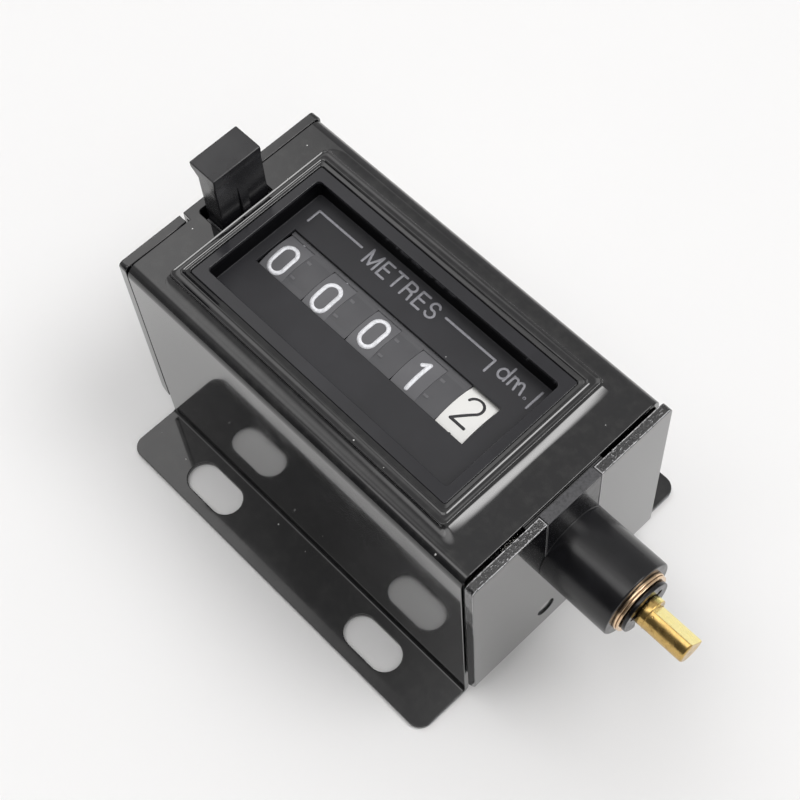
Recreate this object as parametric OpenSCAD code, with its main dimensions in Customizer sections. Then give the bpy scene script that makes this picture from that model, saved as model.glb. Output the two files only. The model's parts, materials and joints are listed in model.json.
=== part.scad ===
// Five-digit metre counter head: input shaft on the right, reset button on the left.
// Origin: centre of the four flange slots, on the mounting plane. X runs along the digits.

/* [Cover] */
// Outside width of the cover between its long walls
body_w = 36; // [36:0.5:37]
// Height of the cover's top above the mounting plane
body_h = 41; // [41:0.5:42]
// Depth over both flanges
flange_w = 54; // [54:0.5:58]
// Thickness of the cover's sheet
cover_t = 0.8; // [0.7:0.1:0.8]
// Spacing of the slots along X
slot_dx = 35; // [30:0.5:38]
// Spacing of the slots along Y
slot_dy = 45; // [44.5:0.5:46]
// Width of a slot
slot_w = 5.2; // [4:0.1:5.4]
// End-to-end length of a slot
slot_l = 10.2; // [8:0.1:12]

/* [Chassis] */
// Length over the outer faces of the two end plates
body_l = 68; // [68:0.5:69]
// Thickness of the chassis sheet
plate_t = 1.5; // [1.3:0.1:1.5]
// Height of the chassis floor's underside
floor_z = 5; // [4.5:0.5:5]

/* [Input shaft] */
// Height of the shaft and wheel axis
axis_z = 28; // [28:0.5:28]
// Radius of the input shaft
shaft_r = 2.25; // [2.2:0.05:2.25]
// X of the shaft's free end
shaft_end = 55; // [52:0.5:60]
// Radius of the bearing hub's boss
boss_r = 6; // [5.5:0.1:6.5]
// X of the boss's end face
boss_end = 45.5; // [44:0.5:47]

/* [Counting wheels] */
// Pitch from one digit wheel to the next
wheel_pitch = 8.7; // [8.7:0.1:8.7]
// Radius of a digit wheel
wheel_r = 10; // [9.8:0.1:10]
// Width of a black digit wheel's rim
rim_w = 4.6; // [4.4:0.1:4.6]
// Width of the white digit wheel's rim
white_rim_w = 5; // [4.8:0.1:5]
// Distance from the wheel axis to the pinion axis
pinion_dist = 11.9; // [11.9:0.1:12]

/* [Reset button] */
// Height of the button's top
button_top = 51.8; // [50:0.2:54]
// Travel of the button
button_travel = 4; // [3:0.5:4]

/* [Hidden] */
$fn = 64;
eps = 0.02;

// Cover
cover_x0 = -32.4;
cover_x1 = 31.9;
flange_x0 = -32.3;
top_bend_r = 1.8;
base_bend_r = 0.5;
flange_corner_r = 2.2;
wall_y = body_w / 2;
ridge_h = 0.5;
ridge_out = [-27.4, 25.4, 14.5];      // low x, high x, half width
ridge_in = [-25.75, 23.25, 12.15];
cover_open = [-25.25, 22.75, 11.3];
button_hole = [-32.6, -27.4, 4.8];
tongue_w = 12.8;
tongue_drop = 4;
tab_x = 10;
tab_l = 6;

// Chassis
half_l = body_l / 2;
plate_in = half_l - plate_t;
floor_top = floor_z + plate_t;
floor_w = 33.8;
bend_out = 2;
plate_split_x = 32.55;
tongue_notch_w = 14;
tongue_notch_z = 36;
hub_notch_r = 4.9;
plate_corner_r = 0.8;

// Dial tray
lip = [-25.65, 23.15, 12.05];
tray_in = [-24.2, 21.6, 10.2];
tray_wall_t = 0.95;
lip_t = 0.5;
dial_z = 38.2;
dial_t = 0.6;
digit_open = [-22.5, 17.5];
digit_open_y = [-3.5, 3.65];
mask_bar_w = 2.5;
mask_bar_y = 4.6;
snap_z = 39.7;

// Wheel train
wheel_x = [for (k = [0:4]) -20 + wheel_pitch * k];
axle_r = 1.5;
axle_x1 = 23.8;
running = 0.03;
wheel_hub_r = 2.6;
ring_teeth = 20;
pinion_teeth = 8;
rim_t = 1.3;
ring_root_r = 7.6;
ring_tip_r = 9;
ring_x0 = rim_w / 2;
ring_x1 = 3.5;
cam_x0 = 3.7;
cam_x1 = 4.9;
carry_x0 = -3.4;
carry_x1 = -2.4;
wheel_hub_x0 = -3.75;
cam_r_low = 3.3;
cam_r_high = 6.3;
cam_turn = 193;                       // where a cam's low point sits when its wheel shows 0
digit_step = 36;
white_cam_x0 = 2.8;
white_cam_x1 = 4;
carry_r = 7;
carry_tip_r = 7.7;
carry_turn = 200;
star_at = 4.3;
star_r = 5.3;
star_notches = 10;
notch_ring_r = 5.5;
pinion_at = 2.4;
pinion_l = 3.7;
pinion_root_r = 2.35;
pinion_tip_r = 3.95;
pinion_axle_r = 1;
pinion_axle_x1 = 23.6;

// Right-hand drive
bracket_x0 = 21.8;
bracket_t = 1.2;
bracket_y = 13;
bracket_top = 36;
bracket_foot = 7.2;
bracket_screw_x = 26;
bracket_screw_y = 9;
coupling_hub_r = 4;
bush_r = 3;
clip_x = 46.5;
clip_t = 0.6;
flat_x = 48.4;
stub_r = shaft_r + 0.02;
flat_depth = 1.2;
flat_turn = -52;

// Reset
button_x = [-31.4, -27.9];
button_y = 4.15;
button_lip_x = -32.7;
fork_y = 2;
fork_top = 34;
leg_bottom = 20;
foot_z = 15.4;
foot_y1 = 12;
spring_y = 9.4;
comb_y = -4.1;
comb_z = 11.8;
comb_r = 1.5;
comb_swing = 27;
comb_arm = 8.57;
finger_l = 14.86;
finger_turn = 37.4;
finger_x0 = 3.8;
finger_t = 1;
mid_x = (button_x[0] + button_x[1]) / 2;

// ---- helpers ----

// Solid cylinder along X
module rod_x(r, x0, x1, y = 0, z = axis_z) {
  translate([x0, y, z]) rotate([0, 90, 0]) cylinder(r = r, h = x1 - x0);
}

// Tube along X
module tube_x(r_out, r_in, x0, x1, y = 0, z = axis_z) {
  difference() {
    rod_x(r_out, x0, x1, y, z);
    rod_x(r_in, x0 - 1, x1 + 1, y, z);
  }
}

// Outline in the YZ plane made thick along X
module plate_x(x0, x1, y = 0, z = axis_z) {
  translate([x0, y, z]) rotate([90, 0, 90]) linear_extrude(x1 - x0) children();
}

// Profile in the XZ plane made thick along Y, centred on Y = 0
module plate_y(w) {
  translate([0, w / 2, 0]) rotate([90, 0, 0]) linear_extrude(w) children();
}

// Turned profile, points as [radius, x]
module turned_x(points, y = 0, z = axis_z) {
  translate([0, y, z]) rotate([0, 90, 0]) rotate_extrude() polygon(points);
}

// Box from its low corner to its high corner
module block(low, high) {
  translate(low) cube(high - low);
}

// Rectangle [x0, x1, half width] with rounded corners
module round_rect(r, area) {
  translate([area[0] + r, -area[2]]) square([area[1] - area[0] - 2 * r, 2 * area[2]]);
  translate([area[0], -area[2] + r]) square([area[1] - area[0], 2 * (area[2] - r)]);
  for (x = [area[0] + r, area[1] - r], s = [-1, 1]) translate([x, s * (area[2] - r)]) circle(r);
}

// Quarter of a ring, the bend of a sheet
module bend(r_out, r_in) {
  intersection() {
    difference() {
      circle(r_out);
      circle(r_in);
    }
    square(r_out);
  }
}

// Slot cutter through the flange, along X
module slot_cutter(x, y) {
  half = (slot_l - slot_w) / 2;
  for (s = [-1, 1]) translate([x + s * half, y, -1]) cylinder(d = slot_w, h = 3);
  translate([x - half, y - slot_w / 2, -1]) cube([2 * half, slot_w, 3]);
}

// Square corner left over outside a rounded corner of a flat end plate or flange
module corner_waste(r) {
  difference() {
    translate([-eps, -eps]) square(r + 2 * eps);
    circle(r);
  }
}

function polar(r, a) = [r * cos(a), r * sin(a)];

// Gear outline with straight-sided teeth
module gear_shape(teeth, r_root, r_tip, root_half, tip_half, turn = 0) {
  polygon([for (i = [0:teeth - 1]) let (a = turn + i * 360 / teeth)
    each [polar(r_root, a - root_half), polar(r_tip, a - tip_half),
          polar(r_tip, a + tip_half), polar(r_root, a + root_half)]]);
}

// E-clip seen along X, its mouth pointing down
module e_clip(x0, t, r_out, r_shaft, y = 0, z = axis_z) {
  plate_x(x0, x0 + t, y, z) difference() {
    circle(r_out);
    circle(r_shaft);
    translate([-r_shaft * 0.9, -r_out - 1]) square([r_shaft * 1.8, r_out + 1]);
    for (a = [20, 90, 160]) rotate(a) translate([r_out * 0.62, 0]) circle(r_out * 0.13);
  }
}

// ---- sheet parts ----

// Half of the cover's hat section: top, bend, wall, bend and flange on the +Y side
module cover_half_section() {
  h = body_h;
  t = cover_t;
  translate([-eps, h - t]) square([wall_y - top_bend_r + eps, t]);
  translate([wall_y - top_bend_r, h - top_bend_r]) bend(top_bend_r, top_bend_r - t);
  translate([wall_y - t, base_bend_r + t]) square([t, h - top_bend_r - base_bend_r - t]);
  translate([wall_y + base_bend_r, base_bend_r + t]) rotate(180) bend(base_bend_r + t, base_bend_r);
  translate([wall_y + base_bend_r, 0]) square([flange_w / 2 - wall_y - base_bend_r, t]);
}

module cover() {
  color([0.09, 0.09, 0.1]) difference() {
    union() {
      plate_x(cover_x0, cover_x1, 0, 0) {
        cover_half_section();
        mirror([1, 0]) cover_half_section();
      }
      translate([0, 0, body_h - cover_t / 2]) linear_extrude(cover_t / 2 + ridge_h)
        round_rect(1, ridge_out);
      block([-half_l, -tongue_w / 2, body_h - cover_t], [cover_x0 + eps, tongue_w / 2, body_h]);
      block([-half_l, -tongue_w / 2, body_h - tongue_drop],
            [-half_l + cover_t, tongue_w / 2, body_h]);
    }
    translate([0, 0, body_h]) linear_extrude(2) round_rect(0.5, ridge_in);
    translate([0, 0, body_h - 2]) linear_extrude(4) round_rect(0.5, cover_open);
    translate([0, 0, body_h - 2]) linear_extrude(4) round_rect(0.6, button_hole);
    for (s = [-1, 1]) {
      for (x = [-1, 1]) slot_cutter(x * slot_dx / 2, s * slot_dy / 2);
      for (x = [0, 1]) mirror([x, 0, 0]) translate([
          (x == 0 ? cover_x1 : -flange_x0) - flange_corner_r, s * (flange_w / 2 - flange_corner_r), -1])
        linear_extrude(3) mirror([0, s < 0 ? 1 : 0]) corner_waste(flange_corner_r + eps);
      // the flange starts a little inside the wall's left end
      block([cover_x0 - 1, s > 0 ? wall_y + eps : -flange_w / 2 - 1, -1],
            [flange_x0, s > 0 ? flange_w / 2 + 1 : -wall_y - eps, 3]);
    }
  }
}

// Side view of the chassis: floor, two bends and two upright end plates
module chassis_section() {
  bend_x = half_l - bend_out;
  bend_z = floor_z + bend_out;
  translate([-bend_x, floor_z]) square([2 * bend_x, plate_t]);
  for (s = [0, 1]) mirror([s, 0]) {
    translate([bend_x, bend_z]) rotate(-90) bend(bend_out, bend_out - plate_t);
    translate([plate_in, bend_z]) square([plate_t, body_h - bend_z]);
  }
}

module chassis() {
  color([0.1, 0.1, 0.11]) difference() {
    plate_y(body_w) chassis_section();
    for (s = [-1, 1]) difference() {
      // the floor is narrower than the end plates, except at four tabs welded to the cover's walls
      block([-plate_split_x, s > 0 ? floor_w / 2 : -wall_y - 1, 0],
            [plate_split_x, s > 0 ? wall_y + 1 : -floor_w / 2, body_h + 1]);
      for (x = [-tab_x, tab_x])
        block([x - tab_l / 2, -wall_y + cover_t, 0], [x + tab_l / 2, wall_y - cover_t, floor_top + 1]);
    }
    for (x = [-1, 1], s = [-1, 1])
      plate_x(x > 0 ? plate_in - 1 : -half_l - 1, x > 0 ? half_l + 1 : -plate_in + 1,
              s * (wall_y - plate_corner_r), body_h - plate_corner_r)
        mirror([s < 0 ? 1 : 0, 0]) corner_waste(plate_corner_r);
    block([-half_l - 1, -tongue_notch_w / 2, tongue_notch_z],
          [-plate_in + 0.1, tongue_notch_w / 2, body_h + 1]);
    rod_x(hub_notch_r, plate_in - 0.1, half_l + 1);
    block([plate_in - 0.1, -hub_notch_r, axis_z], [half_l + 1, hub_notch_r, body_h + 1]);
    rod_x(comb_r + 0.05, -half_l - 1, half_l + 1, comb_y, comb_z);
    rod_x(axle_r + 0.01, -half_l - 1, -plate_in + 1);
    rod_x(pinion_axle_r + 0.01, -half_l - 1, -plate_in + 1, pinion_dist);
    for (s = [-1, 1]) translate([bracket_screw_x, s * bracket_screw_y, 0]) cylinder(r = 1.35, h = 8);
  }
}

module dial_insert() {
  color([0.13, 0.13, 0.14]) {
    difference() {
      union() {
        translate([0, 0, body_h]) linear_extrude(lip_t) round_rect(0.4, lip);
        translate([0, 0, dial_z - dial_t]) linear_extrude(body_h - dial_z + dial_t + eps)
          round_rect(0.4, [tray_in[0] - tray_wall_t, tray_in[1] + tray_wall_t, tray_in[2] + tray_wall_t]);
        // snap lugs under the cover's sheet
        for (x = [-15, 12], s = [-1, 1])
          block([x - 2, s > 0 ? tray_in[2] : -cover_open[2] - 0.35, snap_z],
                [x + 2, s > 0 ? cover_open[2] + 0.35 : -tray_in[2], body_h - cover_t - 0.05]);
      }
      translate([0, 0, dial_z]) linear_extrude(5) round_rect(0.6, tray_in);
      block([digit_open[0], digit_open_y[0], dial_z - 2], [digit_open[1], digit_open_y[1], dial_z + 1]);
    }
    // bars that close the gaps between the wheels
    for (k = [0:3]) block([wheel_x[k] + cam_x0, -mask_bar_y, dial_z - 1.6],
                          [wheel_x[k] + cam_x0 + mask_bar_w, mask_bar_y, dial_z - dial_t + eps]);
  }
}

module inner_bracket() {
  foot_x1 = bracket_x0 + bracket_foot;
  color("gainsboro") difference() {
    union() {
      block([bracket_x0, -bracket_y, floor_top], [bracket_x0 + bracket_t, bracket_y, bracket_top]);
      block([bracket_x0, -bracket_y, floor_top], [foot_x1, bracket_y, floor_top + bracket_t]);
    }
    rod_x(coupling_hub_r + 0.05, bracket_x0 - 1, bracket_x0 + 3);
    rod_x(pinion_axle_r + running, bracket_x0 - 1, bracket_x0 + 3, pinion_dist);
    rod_x(comb_r + 0.8, bracket_x0 - 1, foot_x1 + 1, comb_y, comb_z);
    for (s = [-1, 1]) translate([bracket_screw_x, s * bracket_screw_y, floor_top - 1])
      cylinder(r = 1.2, h = 4);
  }
}

module bracket_screws() {
  color("silver") for (s = [-1, 1]) translate([bracket_screw_x, s * bracket_screw_y, 0]) difference() {
    union() {
      translate([0, 0, floor_z - 1.6]) cylinder(r = 2.3, h = 1.6);
      translate([0, 0, floor_z - eps]) cylinder(r = 1.18, h = floor_top + bracket_t - floor_z + 0.5);
    }
    for (a = [0, 90]) rotate(a) translate([-1.3, -0.3, floor_z - 2]) cube([2.6, 0.6, 1.1]);
  }
}

// ---- bearing and input shaft ----

module bearing_hub() {
  inner_x = plate_in - 1.6;
  chamfer = 0.15;
  color([0.08, 0.08, 0.09]) difference() {
    union() {
      turned_x([[0, half_l], [boss_r, half_l], [boss_r, boss_end - chamfer],
                [boss_r - chamfer, boss_end], [0, boss_end]]);
      rod_x(hub_notch_r - 0.1, plate_in - 0.2, half_l + eps);
      block([plate_in - 0.2, -hub_notch_r + 0.1, axis_z], [half_l, hub_notch_r - 0.1, body_h]);
      block([inner_x, -7, axis_z - 8], [plate_in - 0.1, 7, body_h - cover_t - 0.1]);
    }
    rod_x(bush_r + 0.01, inner_x - 1, boss_end + 1);
  }
}

// Flanged bush; the flange lies between x_flange and x_flange + dir * flange_t
module bushing(x_flange, dir, flange_t, flange_r, barrel_l) {
  x_far = x_flange - dir * barrel_l;
  difference() {
    union() {
      rod_x(flange_r, min(x_flange, x_flange + dir * flange_t), max(x_flange, x_flange + dir * flange_t));
      rod_x(bush_r, min(x_flange, x_far), max(x_flange, x_far));
    }
    rod_x(shaft_r + running, x_flange - 10, x_flange + 10);
  }
}

module front_bushing() {
  color("darkgoldenrod") bushing(boss_end, 1, 0.5, 4.7, 6);
}

module rear_bushing() {
  color("darkgoldenrod") bushing(plate_in - 1.6, -1, 0.6, 4.5, 5);
}

module thrust_washer() {
  color("peru") tube_x(4.6, shaft_r + 0.06, boss_end + 0.55, boss_end + 0.9);
}

module shaft_clip() {
  color([0.1, 0.1, 0.1]) e_clip(clip_x, clip_t, 4.1, shaft_r - 0.38);
}

module input_shaft() {
  chamfer = 0.2;
  color("goldenrod") difference() {
    // turned bar, left a touch thicker between the clip and the flat
    turned_x([[0, 24.1], [shaft_r, 24.1], [shaft_r, clip_x], [stub_r, clip_x],
              [stub_r, flat_x], [shaft_r, flat_x], [shaft_r, shaft_end - chamfer],
              [shaft_r - chamfer, shaft_end], [0, shaft_end]]);
    tube_x(shaft_r + 1, shaft_r - 0.4, clip_x - 0.05, clip_x + clip_t + 0.05);
    translate([flat_x, 0, axis_z]) rotate([flat_turn, 0, 0])
      block([0, -shaft_r - 1, shaft_r - flat_depth], [shaft_end, shaft_r + 1, shaft_r + 1]);
  }
}

module shaft_collar() {
  color("silver") difference() {
    tube_x(3.6, shaft_r + 0.01, 28.1, 30.1);
    translate([29.1, 0, axis_z]) cylinder(r = 0.8, h = 5);
  }
}

module collar_screw() {
  color("dimgray") difference() {
    translate([29.1, 0, axis_z + shaft_r + 0.02]) cylinder(r = 0.78, h = 1.3);
    translate([29.1, 0, axis_z + shaft_r + 0.8]) cylinder(r = 0.4, h = 1, $fn = 6);
  }
}

module drive_coupling() {
  cup_r = 6.9;
  color("ivory") difference() {
    union() {
      tube_x(cup_r, notch_ring_r, wheel_x[4] + star_at, 20.4);
      rod_x(cup_r, 20.2, 21.4);
      rod_x(coupling_hub_r, 21.3, 28);
      for (s = [-1, 1]) rod_x(0.7, wheel_x[4] + star_at + 0.05, 20.3, s * notch_ring_r);
    }
    rod_x(axle_r + running, 19, 24);
    rod_x(shaft_r + 0.01, 24, 29);
  }
}

// ---- counting wheels ----

module wheel_axle() {
  color("lightgray") difference() {
    rod_x(axle_r, -half_l, axle_x1);
    for (x = [-32.4, -27.35]) tube_x(axle_r + 1, axle_r - 0.3, x, x + 0.5);
  }
}

module axle_clips() {
  color("dimgray") for (x = [-32.37, -27.32]) e_clip(x, 0.44, 3, axle_r - 0.28);
}

module axle_spacer() {
  color("silver") tube_x(2.4, axle_r + running, -26.8, wheel_x[0] + wheel_hub_x0 - 0.1);
}

// Heart-shaped cam whose low point faces angle a0
module heart_shape(a0) {
  rise = cam_r_high - cam_r_low;
  polygon([for (i = [0:5:355]) polar(cam_r_low + rise * (180 - abs(180 - i)) / 180, a0 + i)]);
}

// A digit wheel; ring is its tooth ring, carry its two-tooth carry disc
module digit_wheel(x, w, digit, ring, carry, cam_low_x, cam_high_x, hub_x1) {
  translate([x, 0, 0]) difference() {
    union() {
      tube_x(wheel_r, wheel_r - rim_t, -w / 2, w / 2);
      rod_x(wheel_r - rim_t + 0.15, 0.8, w / 2);
      rod_x(wheel_hub_r, wheel_hub_x0, hub_x1);
      if (ring) plate_x(ring_x0 - eps, ring_x1)
        gear_shape(ring_teeth, ring_root_r, ring_tip_r, 4.6, 2.4, 180 / ring_teeth);
      if (carry) plate_x(carry_x0, carry_x1) {
        circle(carry_r);
        gear_shape(2, carry_r - 0.2, carry_tip_r, 5, 3, carry_turn);
      }
      plate_x(cam_low_x, cam_high_x) heart_shape(cam_turn + digit * digit_step);
    }
    rod_x(axle_r + running, -6, 8);
  }
}

module wheel_thousands() {
  color([0.12, 0.12, 0.13]) digit_wheel(wheel_x[0], rim_w, 0, true, false, cam_x0, cam_x1, cam_x1);
}

module wheel_hundreds() {
  color([0.12, 0.12, 0.13]) digit_wheel(wheel_x[1], rim_w, 0, true, true, cam_x0, cam_x1, cam_x1);
}

module wheel_tens() {
  color([0.12, 0.12, 0.13]) digit_wheel(wheel_x[2], rim_w, 0, true, true, cam_x0, cam_x1, cam_x1);
}

module wheel_units() {
  color([0.12, 0.12, 0.13]) digit_wheel(wheel_x[3], rim_w, 1, true, true, cam_x0, cam_x1, cam_x1);
}

module wheel_decimetres() {
  star_x0 = wheel_x[4] + star_at;
  color([0.93, 0.93, 0.9]) {
    digit_wheel(wheel_x[4], white_rim_w, 2, false, true, white_cam_x0, white_cam_x1, star_at + eps);
    difference() {
      rod_x(star_r, star_x0, star_x0 + 0.9);
      rod_x(axle_r + running, star_x0 - 1, star_x0 + 2);
      for (i = [0:star_notches - 1]) let (p = polar(notch_ring_r, i * 360 / star_notches))
        rod_x(0.85, star_x0 - 1, star_x0 + 2, p[0], axis_z + p[1]);
    }
  }
}

module pinion_axle() {
  color("lightgray") difference() {
    rod_x(pinion_axle_r, -half_l, pinion_axle_x1, pinion_dist);
    tube_x(pinion_axle_r + 1, pinion_axle_r - 0.25, 23.05, 23.45, pinion_dist);
  }
}

module pinion_clip() {
  color("dimgray") e_clip(23.07, 0.36, 2, pinion_axle_r - 0.22, pinion_dist);
}

// Pinion between two wheels: eight teeth at the ring, four long ones towards the carry disc
module transfer_pinion(k) {
  x0 = wheel_x[k] + pinion_at;
  x1 = x0 + pinion_l;
  color("gainsboro") difference() {
    union() {
      plate_x(x0, x0 + 1.2, pinion_dist)
        gear_shape(pinion_teeth, pinion_root_r, pinion_tip_r, 15, 5);
      plate_x(x0 + 1.1, x1, pinion_dist)
        gear_shape(pinion_teeth / 2, pinion_root_r, pinion_tip_r, 15, 5);
      rod_x(pinion_root_r - 0.05, x0, x1, pinion_dist);
    }
    rod_x(pinion_axle_r + running, x0 - 1, x0 + 5, pinion_dist);
  }
}

module transfer_pinion_1() {
  transfer_pinion(0);
}

module transfer_pinion_2() {
  transfer_pinion(1);
}

module transfer_pinion_3() {
  transfer_pinion(2);
}

module transfer_pinion_4() {
  transfer_pinion(3);
}

// ---- reset ----

module reset_button() {
  lip_z = button_top - 0.9;
  color([0.16, 0.16, 0.17]) {
    // post and overhanging head, drawn from the side
    difference() {
      plate_y(2 * button_y) polygon([
        [button_x[0], fork_top - 2], [button_x[1], fork_top - 2], [button_x[1], button_top - 2],
        [button_x[1] + 0.2, button_top - 1.4], [button_x[1] + 0.2, button_top], [button_lip_x, button_top],
        [button_lip_x, lip_z], [button_x[0], lip_z - 1.3]]);
      block([button_x[0] - 1, -fork_y, fork_top - 3], [button_x[1] + 1, fork_y, fork_top]);
    }
    // wedge rib on the inner face
    plate_y(1.5) polygon([[button_x[1] - eps, 36], [button_x[1] + 0.4, 36],
                          [button_x[1] + 0.4, body_h + 1.2], [button_x[1] - eps, body_h + 6.8]]);
    // shoulders that stop against the cover from below
    for (s = [-1, 1]) block([button_x[0], s > 0 ? fork_y : -5.6, fork_top],
                            [button_x[1], s > 0 ? 5.6 : -fork_y, body_h - cover_t - 0.1]);
    // fork legs either side of the wheel rod
    block([button_x[0], -button_y, leg_bottom], [button_x[1], -fork_y, fork_top]);
    block([button_x[0], fork_y, foot_z], [button_x[1], button_y, fork_top]);
    block([button_x[0], fork_y, foot_z], [button_x[1], foot_y1, foot_z + 2]);
    // guide rib towards the left end plate
    block([-plate_in + 0.1, -1.5, fork_top + 1.4], [button_x[0] + eps, 1.5, tongue_notch_z + 1]);
  }
}

// Finger pointing from the rocker shaft to one wheel's cam
module comb_finger(x0, t) {
  translate([x0, comb_y, comb_z]) rotate([finger_turn, 0, 0]) {
    translate([0, -1, 0]) cube([t, 2, finger_l - 1]);
    translate([0, 0, finger_l - 1]) rotate([0, 90, 0]) cylinder(r = 1, h = t);
  }
}

module reset_comb() {
  nose = [comb_y + comb_arm * cos(comb_swing / 2), comb_z + comb_arm * sin(comb_swing / 2)];
  arm_x = [mid_x - 1.3, mid_x + 1.3];
  color("darkgray") {
    rod_x(comb_r, -half_l + 0.3, half_l - 0.3, comb_y, comb_z);
    for (k = [0:3]) comb_finger(wheel_x[k] + finger_x0, finger_t);
    comb_finger(wheel_x[4] + white_cam_x0 + 0.1, 0.8);
    rod_x(1.5, arm_x[0], arm_x[1], nose[0], nose[1]);
    translate([arm_x[0], comb_y, comb_z]) rotate([comb_swing / 2, 0, 0])
      translate([0, 0, -0.8]) cube([arm_x[1] - arm_x[0], comb_arm, 1.6]);
  }
}

// Helical wire, swept as rings of points
spring_turns = 5;
spring_steps = 16;
spring_r = 1.9;
wire_r = 0.28;
wire_sides = 8;
spring_low = floor_top + wire_r;
spring_rise = foot_z - floor_top - 2 * wire_r - 0.02;

function coil_point(i, j) =
  let (a = i * 360 / spring_steps, b = j * 360 / wire_sides, r = spring_r + wire_r * cos(b))
  [mid_x + r * cos(a), spring_y + r * sin(a),
   spring_low + 0.01 + spring_rise * i / (spring_turns * spring_steps) + wire_r * sin(b)];

module reset_spring() {
  n = spring_turns * spring_steps;
  m = wire_sides;
  color("silver") polyhedron(
    points = [for (i = [0:n], j = [0:m - 1]) coil_point(i, j)],
    faces = concat(
      [[for (j = [0:m - 1]) j]],
      [[for (j = [m - 1:-1:0]) n * m + j]],
      [for (i = [0:n - 1], j = [0:m - 1])
        [i * m + j, (i + 1) * m + j, (i + 1) * m + (j + 1) % m, i * m + (j + 1) % m]]));
}

chassis();
cover();
dial_insert();
inner_bracket();
bracket_screws();
bearing_hub();
front_bushing();
rear_bushing();
thrust_washer();
shaft_clip();
input_shaft();
shaft_collar();
collar_screw();
drive_coupling();
wheel_axle();
axle_clips();
axle_spacer();
wheel_thousands();
wheel_hundreds();
wheel_tens();
wheel_units();
wheel_decimetres();
pinion_axle();
pinion_clip();
transfer_pinion_1();
transfer_pinion_2();
transfer_pinion_3();
transfer_pinion_4();
reset_button();
reset_comb();
reset_spring();
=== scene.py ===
import json
import math

import bmesh
import bpy
from mathutils import Matrix, Vector


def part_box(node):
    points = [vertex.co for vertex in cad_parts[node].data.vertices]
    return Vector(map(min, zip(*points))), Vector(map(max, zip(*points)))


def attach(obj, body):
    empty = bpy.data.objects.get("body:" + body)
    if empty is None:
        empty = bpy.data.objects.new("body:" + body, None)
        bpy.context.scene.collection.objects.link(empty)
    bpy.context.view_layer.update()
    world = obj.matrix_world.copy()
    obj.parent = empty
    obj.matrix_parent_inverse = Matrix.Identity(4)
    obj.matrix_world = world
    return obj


# The looks of a five-digit metre counter head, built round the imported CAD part.
# Lengths are written in millimetres and turned into metres by MM.
MM = 0.001

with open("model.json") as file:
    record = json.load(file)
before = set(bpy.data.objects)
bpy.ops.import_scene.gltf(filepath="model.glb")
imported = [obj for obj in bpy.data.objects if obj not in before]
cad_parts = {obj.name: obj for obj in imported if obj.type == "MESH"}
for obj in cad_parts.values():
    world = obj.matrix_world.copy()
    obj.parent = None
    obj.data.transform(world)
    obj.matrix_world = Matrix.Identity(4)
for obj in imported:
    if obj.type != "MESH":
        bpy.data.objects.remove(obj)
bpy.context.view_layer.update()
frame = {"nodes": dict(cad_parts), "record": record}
NODES = frame["nodes"]


def high(node):
    """Highest corner of a CAD node in millimetres."""
    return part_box(node)[1] / MM


# ---- places taken from the frame ----

WHEELS = ["wheel_thousands", "wheel_hundreds", "wheel_tens", "wheel_units", "wheel_decimetres"]
SHOWN = [0, 0, 0, 1, 2]                       # the digit each wheel shows at rest
SETTLED = [-0.75, -0.75, -0.07, -0.45, 0.57]  # how far each digit stops past the middle, along the rim
AXIS_Z = 28.0                                 # height of the wheels' axle
WHEEL_R = high("wheel_decimetres").z - AXIS_Z
WHEEL_PITCH = 8.7
FIRST_WHEEL_X = -20.0
WHEEL_X = [FIRST_WHEEL_X + WHEEL_PITCH * k for k in range(5)]
COVER_TOP = high("dial_insert").z - 0.5       # the tray's lip is 0.5 thick
DIAL_Z = 38.2                                 # printed face of the dial
FLAT_TURN = math.radians(52)                  # the shaft's flat, from +Z towards +Y
RIDGE_OUT = (-27.4, 25.4, 14.5)               # raised frame's outside: low x, high x, half width
RIDGE_IN = (-25.75, 23.25, 12.15)             # its inside
PLATE_T = 1.5                                 # thickness of the right end plate
PLATE_IN = high("chassis").x - PLATE_T        # its inner face
NOTCH_Y = high("bearing_hub").y - 2.1         # side of the notch the hub sits in
NOTCH_Z = 27.0                                # wear shows above this height on the end plate


# ---- materials ----

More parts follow.
